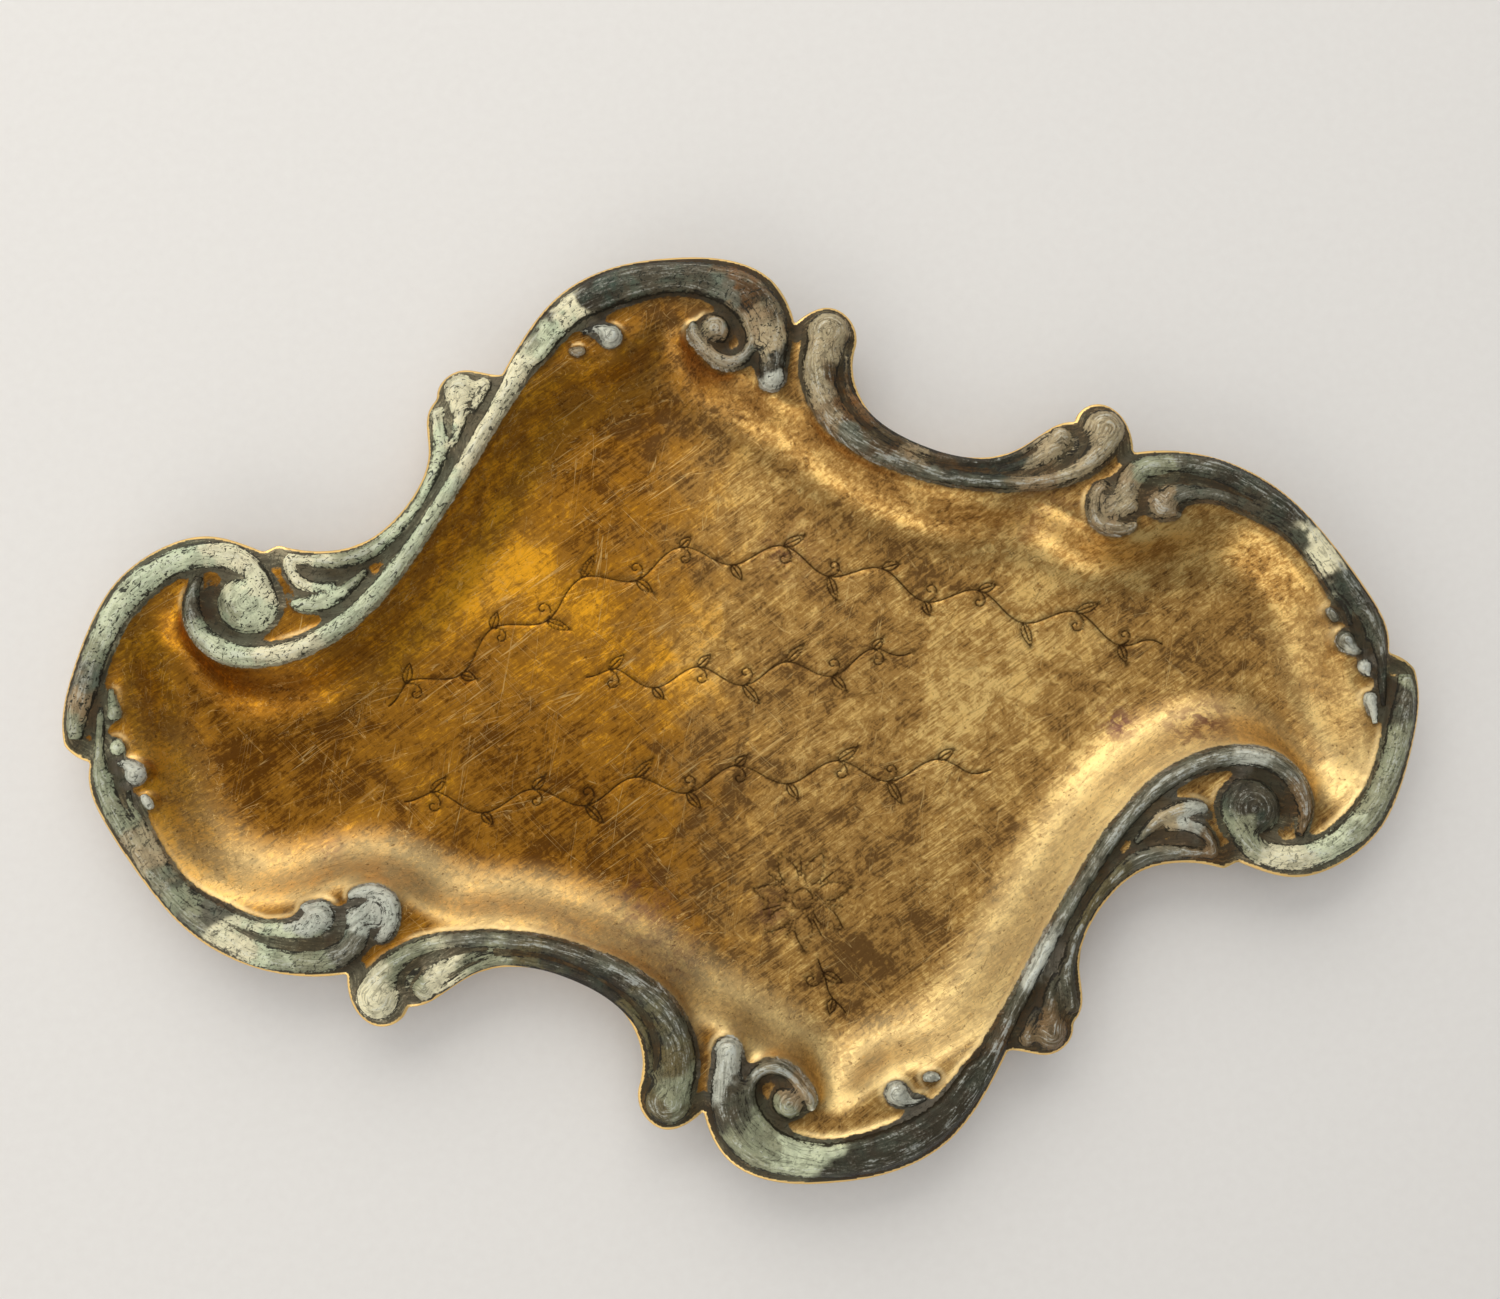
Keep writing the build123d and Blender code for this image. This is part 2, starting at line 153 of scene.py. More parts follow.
# Soft round spots follow, each as X, Y and radius in millimetres, and a strength.
# Broad changes of tone in the brass field, partly painted shade and painted reflection: darker where the
# strength is above 0, and brighter below.
TONES = [
    (-80, -3, 15, 0.75), (-48, 3, 12, 0.35), (-41, -21, 14, 0.3), (-57, -22, 7, 0.9), (-30, 16, 8, -0.7),
    (-55, 12.5, 3, -0.5), (-50, 16.5, 3.5, -0.8), (-45, 20.5, 3.8, -1.0), (-40, 24.5, 4.2, -1.1),
    (-35, 29, 4.8, -1.1), (63, 26, 7, -0.5), (-8, 58, 16, 0.6), (-22, 48, 15, 0.3), (-8, 10, 9, -0.9),
    (1, -15, 14, 0.35), (-19, -28, 16, 0.3), (14, -46, 18, 0.4), (3, -35, 8, -0.5), (28, -2, 14, -0.2),
    (42, 3, 13, -0.75), (52, 16, 11, -0.6), (75, 4, 12, 0.3), (-95, -7, 6, -1.0), (2, 38, 9, -0.6),
]
# Hollows between castings, dark with old dirt and painted shade.
HOLLOWS = [
    (-85.5, 22, 2.8, 1.6), (-86.5, 18, 2.8, 1.4), (85.5, -22, 2.8, 1.6), (86.5, -18, 2.8, 1.4),
    (-73, 22, 2.0, 0.6), (73, -22, 2.0, 0.8), (-64, 24, 2.5, 0.5), (64, -24, 2.5, 0.9),
]
# Purple-brown marks where the brass has been heated or wetted.
STAINS = [
    (62, -6, 3.0, 0.9), (72, -8, 3.6, 0.7), (77, -6, 3.0, 0.8), (-33, -37, 5.0, 0.5), (-20, -33, 5.5, 0.5),
    (-14, -40, 4.0, 0.4), (2, -34, 3.0, 0.4), (-70, -19, 2.2, 0.5), (50, 30, 6.0, 0.3), (8, 26, 5.0, 0.3),
]


# ---------------------------------------------------------------- reading the CAD nodes
def cad_mesh(node):
    """Points and triangles of a CAD node, with shared points merged."""
    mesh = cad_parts[node].data
    mesh.calc_loop_triangles()
    points = np.empty(len(mesh.vertices) * 3, np.float32)
    mesh.vertices.foreach_get("co", points)
    corners = np.empty(len(mesh.loop_triangles) * 3, np.int32)
    mesh.loop_triangles.foreach_get("vertices", corners)
    points, index = np.unique(points.reshape(-1, 3), axis=0, return_inverse=True)
    return points.astype(float), index.reshape(-1)[corners.reshape(-1, 3)]


def tree_of(*names):
    """A ray-casting tree over these CAD nodes."""
    points, triangles = [], []
    for name in names:
        own_points, own_triangles = cad_mesh(name)
        triangles += (own_triangles + len(points)).tolist()
        points += own_points.tolist()
    return BVHTree.FromPolygons(points, triangles)


def height_at(tree, x, y, miss=None):
    """Height of the first surface straight below, or miss."""
    hit = tree.ray_cast(Vector((x, y, 0.1)), Vector((0, 0, -1)))[0]
    return miss if hit is None else hit.z


def over_node(points, tree):
    """Those plan points that lie over the CAD node of that tree."""
    return points[[height_at(tree, x, y) is not None for x, y in points]]


def flat_loops(node, level):
    """Closed loops, as plan points, round the faces of a node that lie flat at that height."""
    points, triangles = cad_mesh(node)
    at_level = np.abs(points[:, 2] - level) < 0.003 * MM
    flat = triangles[at_level[triangles].all(axis=1)]
    edges = set(map(tuple, np.concatenate([flat[:, [0, 1]], flat[:, [1, 2]], flat[:, [2, 0]]]).tolist()))
    follow = {start: end for start, end in edges if (end, start) not in edges}
    loops = []
    while follow:
        start, at = follow.popitem()
        loop = [start]
        while at != start and at in follow:
            loop.append(at)
            at = follow.pop(at)
        if len(loop) > 8:
            loops.append(points[loop, :2])
    return loops


# ---------------------------------------------------------------- plan geometry
def resample(loop, spacing):
    """The closed loop with evenly spaced points, a little smoothed."""
    closed = np.vstack([loop, loop[:1]])
    along = np.concatenate([[0], np.cumsum(np.hypot(*np.diff(closed, axis=0).T))])
    count = max(12, round(along[-1] / spacing))
    at = np.linspace(0, along[-1], count, endpoint=False)
    even = np.column_stack([np.interp(at, along, closed[:, 0]), np.interp(at, along, closed[:, 1])])
    return (np.roll(even, 1, 0) + 2 * even + np.roll(even, -1, 0)) / 4


def shifted(loop, distance):
    """The closed loop moved sideways by that distance."""
    along = np.roll(loop, -1, 0) - np.roll(loop, 1, 0)
    along /= np.maximum(np.hypot(along[:, 0], along[:, 1]), 1e-12)[:, None]
    return loop + np.column_stack([-along[:, 1], along[:, 0]]) * distance


def hex_grid(low, high, spacing):
    """Points of a hexagonal grid over a box in plan."""
    rows = np.arange(low[1], high[1], spacing * math.sqrt(3) / 2)
    columns = np.arange(low[0], high[0], spacing)
    return np.vstack([np.column_stack([columns + (row % 2) * spacing / 2, np.full(len(columns), y)])
                      for row, y in enumerate(rows)])


def nearest(points, others):
    """Distance from each point to the nearest of the others, in plan."""
    finder = KDTree(len(others))
    for number, (x, y) in enumerate(others):
        finder.insert((x, y, 0), number)
    finder.balance()
    return np.array([finder.find((x, y, 0))[2] for x, y in points])


def loop_edges(loops):
    """Edges of the closed loops, for points that are listed loop after loop."""
    edges, start = [], 0
    for loop in loops:
        edges += [(start + i, start + (i + 1) % len(loop)) for i in range(len(loop))]
        start += len(loop)
    return edges


def triangles_inside(points, edges, tree):
    """Triangles over the points that keep the edges and lie over the CAD node of that tree."""
    made = delaunay_2d_cdt([Vector(point) for point in points.tolist()], edges, [], 0, 1e-8)
    origin = [ids[0] if ids else -1 for ids in made[3]]
    triangles = np.array([[origin[i] for i in face] for face in made[2]])
    triangles = triangles[(triangles >= 0).all(axis=1)]
    corner = points[triangles]
    side, other = corner[:, 1] - corner[:, 0], corner[:, 2] - corner[:, 0]
    area = side[:, 0] * other[:, 1] - side[:, 1] * other[:, 0]
    triangles[area < 0] = triangles[area < 0][:, ::-1]
    middle = corner.mean(axis=1)
    inside = [height_at(tree, x, y) is not None for x, y in middle]
    return triangles[np.array(inside)]


def relaxed(values, triangles, fixed, passes):
    """The values with each one drawn towards its neighbours, except the fixed ones."""
    pairs = np.concatenate([triangles[:, [0, 1]], triangles[:, [1, 2]], triangles[:, [2, 0]]])
    pairs = np.concatenate([pairs, pairs[:, ::-1]])
    count = np.maximum(np.bincount(pairs[:, 0], minlength=len(values)), 1)
    for _ in range(passes):
        mean = np.bincount(pairs[:, 0], weights=values[pairs[:, 1]], minlength=len(values)) / count
        values = np.where(fixed, values, 0.5 * values + 0.5 * mean)
    return values


# ---------------------------------------------------------------- height maps over the whole tray
MARGIN = 6 * MM                                  # how far the maps reach beyond the tray
plan_low, plan_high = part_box("tray")
map_x = np.arange(plan_low.x - MARGIN, plan_high.x + MARGIN, CELL)
map_y = np.arange(plan_low.y - MARGIN, plan_high.y + MARGIN, CELL)


def ray_map(tree, miss):
    """Height of the surface under every point of the map, or miss."""
    return np.array([[height_at(tree, x, y, miss) for x in map_x] for y in map_y])


def blurred(values, radius):
    """The map smoothed over that radius."""
    fy = np.fft.fftfreq(len(map_y), CELL)[:, None]
    fx = np.fft.rfftfreq(len(map_x), CELL)[None, :]
    weight = np.exp(-2 * (math.pi * radius) ** 2 * (fx**2 + fy**2))
    return np.fft.irfft2(np.fft.rfft2(values) * weight, values.shape)


def lookup(values, points):
    """The map's values at plan points."""
    u = np.clip((points[:, 0] - map_x[0]) / CELL, 0, len(map_x) - 1.001)
    v = np.clip((points[:, 1] - map_y[0]) / CELL, 0, len(map_y) - 1.001)
    i, j = u.astype(int), v.astype(int)
    a, b = u - i, v - j
    top = values[j, i] * (1 - a) + values[j, i + 1] * a
    bottom = values[j + 1, i] * (1 - a) + values[j + 1, i + 1] * a
    return top * (1 - b) + bottom * b


def soft_step(values, low, high):
    """0 below low, 1 above high, and a smooth curve in between."""
    t = np.clip((values - low) / (high - low), 0, 1)
    return t * t * (3 - 2 * t)


def ripple(points, size, seed):
    """Smooth random values of about -1 to 1 that change over that distance."""
    return np.array([noise.noise(Vector((x / size, y / size, seed))) for x, y in points[:, :2]])


tray_tree = tree_of("tray")
casting_heights = ray_map(tree_of(*CASTINGS), 0.0)
sheet_heights = ray_map(tray_tree, RIM)
FLOOR = height_at(tray_tree, 0, 0)               # top of the flat field
SHEET = FLOOR                                    # thickness: the underside of the field is on the ground

cover = (casting_heights > 0).astype(float)      # 1 where a casting hides the sheet
near_casting = blurred(cover, 0.9 * MM)
crisp, gentle = blurred(sheet_heights, 1.3 * MM), blurred(sheet_heights, 3.3 * MM)
rise = np.clip((crisp - FLOOR) / (RIM - FLOOR), 0, 1)
dish = crisp * rise + gentle * (1 - rise)        # walls that bend sharply at the top and softly at the foot
held = soft_step(near_casting, 0.06, 0.5)
dish = dish * (1 - held) + RIM * held            # the flange stays flat close to each casting,
proud = np.where(casting_heights > 0, casting_heights - RIM, 0)
dish += 0.9 * blurred(proud, 0.85 * MM)          # and swells to meet it
relief_base = blurred(np.maximum(casting_heights, dish), 1.1 * MM)
slope_map = np.hypot(*np.gradient(blurred(dish, 0.6 * MM), CELL))


# ---------------------------------------------------------------- scribed ornament
def smooth_line(corners, step=0.1):
    """Points along a smooth line through the corners, in millimetres."""
    corners = np.array([corners[0], *corners, corners[-1]], float)
    line = []
    for a, b, c, d in zip(corners, corners[1:], corners[2:], corners[3:]):
        for t in np.arange(0, 1, step / max(np.hypot(*(c - b)), step)):
            line.append(0.5 * (2 * b + (c - a) * t + (2 * a - 5 * b + 4 * c - d) * t**2
                               + (3 * b - 3 * c + d - a) * t**3))
    return np.array(line)


def leaf(x, y, angle, length, width):
    """A pointed leaf with a midrib, from its stalk outwards."""
    t = np.linspace(0, 1, 24)
    side = width / 2 * np.sin(math.pi * t**0.8)
    blade = [np.column_stack([t * length, side]), np.column_stack([t * length, -side])]
    rib = np.column_stack([t * length * 0.75, 0 * t])
    turn = np.array([[math.cos(angle), math.sin(angle)], [-math.sin(angle), math.cos(angle)]])
    return [stroke @ turn + (x, y) for stroke in (*blade, rib)]


def tendril(x, y, angle, length, side):
    """A thin curl that leaves the stem at an angle and rolls up on itself."""
    t = np.linspace(0, 1, 40)
    heading = angle + side * 6.5 * t**1.4
    step = length / 40 * (1.4 - 0.9 * t)
    return np.column_stack([x + np.cumsum(step * np.cos(heading)), y + np.cumsum(step * np.sin(heading))])


def vine(course, wave, swing):
    """A waving stem along the course, with a leaf on the outside of each bend and a tendril on the inside."""
    line = smooth_line(course)
    along = np.concatenate([[0], np.cumsum(np.hypot(*np.diff(line, axis=0).T))])
    heading = np.gradient(line, axis=0)
    heading /= np.hypot(*heading.T)[:, None]
    normal = np.column_stack([-heading[:, 1], heading[:, 0]])
    fade = np.clip(np.minimum(along, along[-1] - along) / 5, 0, 1)
    stem = line + normal * (swing * np.sin(2 * math.pi * along / wave) * fade)[:, None]
    strokes = [stem]
    for bend in range(int(along[-1] / wave * 2)):
        at = np.searchsorted(along, (bend + 0.5) * wave / 2)
        if at >= len(stem) - 3:
            break
        side = 1 if bend % 2 == 0 else -1
        ahead = math.atan2(heading[at, 1], heading[at, 0])
        splay = 0.8 + 0.25 * math.sin(3 * bend)
        strokes += leaf(*stem[at], ahead + side * splay, 3.6 + math.sin(5 * bend), 1.5)
        if bend % 3 != 1:
            strokes.append(tendril(*stem[at], ahead - side * 0.4, 7 + math.sin(2 * bend), -side))
    return strokes


def rosette(x, y, radius, petals):
    """Petals round a small ring, and a short stroke between each two."""
    strokes = []
    for petal in range(petals):
        angle = 2 * math.pi * petal / petals + 0.2
        start = (x + 0.27 * radius * math.cos(angle), y + 0.27 * radius * math.sin(angle))
        strokes += leaf(*start, angle, 0.73 * radius, 0.34 * radius)[:2]
        between = angle + math.pi / petals
        reach = np.linspace(0.45, 0.8, 16)[:, None] * radius
        strokes.append((x, y) + reach * (math.cos(between), math.sin(between)))
    turn = np.linspace(0, 2 * math.pi, 40)
    strokes.append(np.column_stack([x + 0.2 * radius * np.cos(turn), y + 0.2 * radius * np.sin(turn)]))
    return strokes


scribed = (
    vine([(-60, 4), (-43, 13.5), (-30, 20.5), (-15, 25.5), (0, 26.5), (14, 24), (26, 20), (42, 15.5),
          (58, 11), (71, 7)], wave=17, swing=1.9)
    + vine([(-27, 7), (-10, 6), (8, 6), (28, 8)], wave=15, swing=1.7)
    + vine([(-58, -12), (-38, -13), (-19, -12), (1, -11), (20, -11.5), (40, -12.5)], wave=17, swing=1.8)
    + rosette(7, -32, radius=8.5, petals=7)
    + vine([(9, -42), (10, -46), (13, -51)], wave=9, swing=0.5)
)
groove_line = np.vstack(scribed) * MM
# Mesh points along each groove and to both sides of it, so that the mesh can follow it.
groove_rows = np.vstack([np.vstack([stroke[::3] + aside for stroke in scribed]) * MM
                         for aside in ((0, 0), (0.22, 0.1), (-0.22, -0.1), (0.1, -0.22), (-0.1, 0.22))])


# ---------------------------------------------------------------- meshes
def make_piece(name, points, faces, replaced, floats, colours):
    """A smooth mesh object that rides on the tray, with its point attributes."""
    mesh = bpy.data.meshes.new(name)
    mesh.from_pydata(points.tolist(), [], faces.tolist())
    mesh.update()
    for key, values in floats.items():
        mesh.attributes.new(key, "FLOAT", "POINT").data.foreach_set("value", values.astype(np.float32))
    for key, values in colours.items():
        flat_values = values.astype(np.float32).ravel()
        mesh.attributes.new(key, "FLOAT_COLOR", "POINT").data.foreach_set("color", flat_values)
    mesh.shade_smooth()
    mesh.set_sharp_from_angle(angle=math.radians(65))
    piece = bpy.data.objects.new(name, mesh)
    bpy.context.scene.collection.objects.link(piece)
    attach(piece, "root")
    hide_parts(replaced)
    return piece


def patch_colours(points, patches):
    """The patina colour at each point, blended from the nearest patches with a ragged border."""
    ragged = points[:, :2].copy()
    for size, reach in ((3.6 * MM, 3.4 * MM), (1.1 * MM, 1.4 * MM)):
        ragged += reach * np.column_stack([ripple(points, size, 3), ripple(points, size, 8)])
    sharpness = 7                                # how abruptly one patch gives way to the next
    weights = np.array([1 / (np.hypot(ragged[:, 0] - x * MM, ragged[:, 1] - y * MM) / MM + 0.5) ** sharpness
                        for x, y, _ in patches])
    palette = np.array([colour for _, _, colour in patches])
    return (weights.T @ palette) / weights.sum(axis=0)[:, None]


def make_casting(node):
    """A refined copy of a scroll casting, with a worn and pitted surface."""
    tree = tree_of(node)
    loops = [resample(loop, 0.28 * MM) for loop in flat_loops(node, RIM)]
    rim = np.vstack(loops)
    low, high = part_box(node)
    inner = np.vstack([shifted(loop, side * 0.11 * MM) for loop in loops for side in (-1, 1)])
    inner = over_node(inner[nearest(inner, rim) > 0.08 * MM], tree)
    grid = over_node(hex_grid(low, high, 0.36 * MM), tree)
    grid = grid[nearest(grid, rim) > 0.3 * MM]
    flat = np.vstack([rim, inner, grid])
    edges = loop_edges(loops)
    top = triangles_inside(flat, edges, tree)
    bottom = triangles_inside(rim, edges, tree)[:, ::-1]

    on_rim = np.arange(len(flat)) < len(rim)
    height = np.array([height_at(tree, x, y, RIM) for x, y in flat])
    height = np.where(on_rim, RIM, relaxed(height, top, on_rim, 4))
    swell = soft_step(height - RIM, 0, 1.2 * MM)
    height += swell * MM * (0.07 * ripple(flat, 2.6 * MM, 1) + 0.05 * ripple(flat, 1.1 * MM, 5))
    height = np.maximum(height, RIM)
    even = relaxed(height, top, on_rim, 4)
    relief = np.clip((even - lookup(relief_base, flat)) / (0.8 * MM), -1, 1)
    points = np.column_stack([flat, height])
    crust = np.full(len(points), CRUST[node])
    return make_piece(node + "_casting", points, np.vstack([top, bottom]), node,
                      {"relief": relief, "crust": crust, "across": nearest(flat, rim) / MM},
                      {"tint": patch_colours(points, PATCHES[node])})


def spots(points, rows):
    """The sum of soft round spots at each point."""
    total = np.zeros(len(points))
    for x, y, radius, amount in rows:
        gap = np.hypot(points[:, 0] - x * MM, points[:, 1] - y * MM) / (radius * MM)
        total += amount * np.exp(-gap**2)
    return total


def sheet_marks(flat, height, gap_to_edge):
    """Point attributes of the sheet's upper side, from the castings and the slopes round each point."""
    near = lookup(blurred(cover, 0.55 * MM), flat)
    wide = lookup(blurred(cover, 2.2 * MM), flat)
    pull_y, pull_x = (lookup(pull, flat) for pull in np.gradient(blurred(cover, 1.2 * MM)))
    lit = soft_step((0.35 * pull_x - 0.94 * pull_y) / np.maximum(np.hypot(pull_x, pull_y), 1e-9), -0.2, 0.7)
    # A painted highlight: a thin bright line beside the castings, on the side that faces the window.
    highlight_line = lit * soft_step(near, 0.005, 0.1) * (1 - soft_step(near, 0.2, 0.4))
    highlight_line *= 1 - soft_step(wide, 0.42, 0.52)

    slope = soft_step(lookup(slope_map, flat), 0.1, 0.8)
    down_y, down_x = (-lookup(part, flat) for part in np.gradient(blurred(dish, 1.5 * MM), CELL))
    facing = soft_step((0.95 * down_y - 0.3 * down_x) / np.maximum(np.hypot(down_x, down_y), 1e-9), -0.3, 0.8)

    outer = 1 - soft_step(gap_to_edge, 2.6 * MM, 4.2 * MM)
    patina = np.maximum(soft_step(lookup(near_casting, flat), 0.25, 0.5), 0.9 * outer)
    patina = np.maximum(patina, soft_step(lookup(blurred(cover, 1.6 * MM), flat), 0.47, 0.6))
    hollow = np.minimum(spots(flat, HOLLOWS), 1)
    # Old dirt and painted shade along the castings: wider and darker on the side away from the window.
    dirt_and_shade = np.maximum(soft_step(near, 0.03 + 0.14 * lit, 0.45) * (1 - 0.3 * lit), hollow)
    return {
        "relief": np.clip((height - lookup(relief_base, flat)) / (0.8 * MM), -1, 1),
        "patina": np.maximum(patina, 0.8 * hollow),
        "dirt_and_shade": dirt_and_shade,                          # old dirt and painted shade in the corner along each casting, wider and darker away from the window
        "shade": wide * (1 - 0.7 * lit),         # brass that is darker near the castings
        "painted_highlight": highlight_line,                           # painted highlight: a bright line beside them, where the sheet faces the window
        "amber": soft_step(-flat[:, 0], -12 * MM, 30 * MM),
        "pale": slope * facing,                  # painted highlight on slopes that face the window,
        "turned_away": slope * (1 - facing),     # and painted shade on those that don't
        "tone": spots(flat, TONES),
        "stain": spots(flat, STAINS),
        "across": gap_to_edge / MM,
        "edge": 1 - soft_step(gap_to_edge, 0.2 * MM, 0.55 * MM),
    }


def make_tray():
    """The brass sheet: flange, soft walls and scribed field, with a thickness and a rounded, trimmed edge."""
    loops = [resample(loop, 0.45 * MM) for loop in flat_loops("tray", RIM)]
    outline = max(loops, key=lambda loop: np.ptp(loop[:, 0]))
    following = np.roll(outline, -1, 0)
    area = 0.5 * np.sum(outline[:, 0] * following[:, 1] - outline[:, 1] * following[:, 0])
    outline = outline if area > 0 else outline[::-1]
    top_edge = shifted(outline, 0.16 * MM)
    edges = loop_edges([outline])
    count = len(outline)

    def grid_where(spacing, beside, sloping):
        """Grid points that are beside a casting or not, and on a slope or not (None for either)."""
        grid = hex_grid(plan_low, plan_high, spacing)
        kept = (np.abs(lookup(near_casting, grid) - 0.35) < 0.32) == beside
        if sloping is not None:
            kept &= (lookup(slope_map, grid) > 0.05) == sloping
        return grid[kept]

    inside = np.vstack([grid_where(0.36 * MM, True, None), grid_where(0.55 * MM, False, True),
                        grid_where(1.1 * MM, False, False)])
    inside = inside[nearest(inside, groove_rows) > 0.3 * MM]
    groove_step = 0.09                           # millimetres
    apart = np.unique(np.round(groove_rows / (groove_step * MM)), axis=0) * groove_step * MM
    inside = np.vstack([inside, apart])
    inside = over_node(inside, tray_tree)
    inside = inside[nearest(inside, top_edge) > 0.35 * MM]
    inside = inside[nearest(inside, outline) > 0.4 * MM]
    top_flat = np.vstack([top_edge, inside])
    top = triangles_inside(top_flat, edges, tray_tree)

    groove = 1 - soft_step(nearest(top_flat, groove_line), 0.05 * MM, 0.26 * MM)
    height = lookup(dish, top_flat)
    height += 0.10 * MM * ripple(top_flat, 17 * MM, 2) * (1 - lookup(held, top_flat))
    height = np.maximum(height, 0.85 * SHEET) - 0.13 * MM * groove
    height[:count] = RIM

    under = over_node(hex_grid(plan_low, plan_high, 1.8 * MM), tray_tree)
    under = under[nearest(under, outline) > 1.2 * MM]
    under_flat = np.vstack([outline, under])
    bottom = triangles_inside(under_flat, edges, tray_tree)[:, ::-1]
    grade = np.gradient(blurred(dish, 0.8 * MM), CELL)
    thicker = np.sqrt(1 + lookup(grade[0], under_flat) ** 2 + lookup(grade[1], under_flat) ** 2)
    under_height = np.maximum(lookup(dish, under_flat) - SHEET * thicker, 0)
    under_height[:count] = RIM - SHEET

    waist = np.column_stack([outline, np.full(count, RIM - 0.14 * MM)])
    upper = np.column_stack([top_flat, height])
    lower = np.column_stack([under_flat, under_height])
    points = np.vstack([upper, lower, waist])
    ring = np.arange(count)
    after = (ring + 1) % count
    low_ring, waist_ring = ring + len(upper), ring + len(upper) + len(lower)
    low_next, waist_next = after + len(upper), after + len(upper) + len(lower)
    skirt = [np.column_stack([ring, waist_ring, waist_next]), np.column_stack([ring, waist_next, after]),
             np.column_stack([waist_ring, low_ring, low_next]),
             np.column_stack([waist_ring, low_next, waist_next])]
    faces = np.vstack([top, bottom + len(upper), *skirt])

    marks = sheet_marks(top_flat, height, nearest(top_flat, outline))
    marks["groove"] = groove
    elsewhere = {"amber": 0.5, "edge": 1.0}      # on the underside and the rim, where the others are 0
    rest = len(points) - len(upper)
    floats = {key: np.concatenate([values, np.full(rest, elsewhere.get(key, 0.0))])
              for key, values in marks.items()}
    tint = patch_colours(points, [patch for rows in PATCHES.values() for patch in rows])
    return make_piece("tray_sheet", points, faces, "tray", floats,
                      {"tint": 0.3 * tint + 0.7 * np.array(UMBER)})


# ---------------------------------------------------------------- materials
class Shader:
    """A node material, built step by step."""

    def __init__(self, name):
        self.material = bpy.data.materials.new(name)
        self.material.use_nodes = True
        self.tree = self.material.node_tree
        self.surface = self.tree.nodes["Principled BSDF"]

    def put(self, socket, value):
        if isinstance(value, bpy.types.NodeSocket):
            self.tree.links.new(value, socket)
        else:
            socket.default_value = value

    def node(self, kind, inputs, **settings):
        made = self.tree.nodes.new("ShaderNode" + kind)
        for key, value in settings.items():
            setattr(made, key, value)
        for key, value in inputs.items():
            self.put(made.inputs[key], value)
        return made

    def attribute(self, name, output="Fac"):
        return self.node("Attribute", {}, attribute_name=name).outputs[output]

    def place(self, turn=0.0, stretch=(1, 1, 1), shift=(0, 0, 0)):
        """Object coordinates in millimetres, turned about Z and then stretched."""
        plain = self.node("TexCoord", {}).outputs["Object"]
        turned = self.node("Mapping", {"Vector": plain, "Rotation": (0, 0, -turn), "Scale": (1 / MM,) * 3})
        inputs = {"Vector": turned.outputs[0], "Location": shift, "Scale": stretch}
        return self.node("Mapping", inputs).outputs[0]

    def noise(self, vector, scale, detail=3.0, rough=0.55, twist=0.0):
        return self.node("TexNoise", {"Vector": vector, "Scale": scale, "Detail": detail, "Roughness": rough,
                                      "Distortion": twist}).outputs["Fac"]

    def math(self, operation, first, second=0.0, third=0.0):
        return self.node("Math", {0: first, 1: second, 2: third}, operation=operation).outputs[0]

    def add(self, first, second):
        return self.math("ADD", first, second)

    def times(self, first, second):
        return self.math("MULTIPLY", first, second)

    def band(self, value, low, high, to_low=0.0, to_high=1.0):
        """The value mapped smoothly from low..high to to_low..to_high, and held there outside."""
        return self.node("MapRange", {"Value": value, "From Min": low, "From Max": high, "To Min": to_low,
                                      "To Max": to_high}, interpolation_type="SMOOTHSTEP").outputs["Result"]

    def mix(self, amount, first, second):
        """The first colour where the amount is 0, the second where it is 1."""
        return self.node("Mix", {0: amount, 6: first, 7: second}, data_type="RGBA").outputs[2]

    def bump(self, height, strength, distance):
        return self.node("Bump", {"Height": height, "Strength": strength, "Distance": distance}).outputs[0]

    def finish(self, **inputs):
        for key, value in inputs.items():
            self.put(self.surface.inputs[key.replace("_", " ")], value)
        return self.material


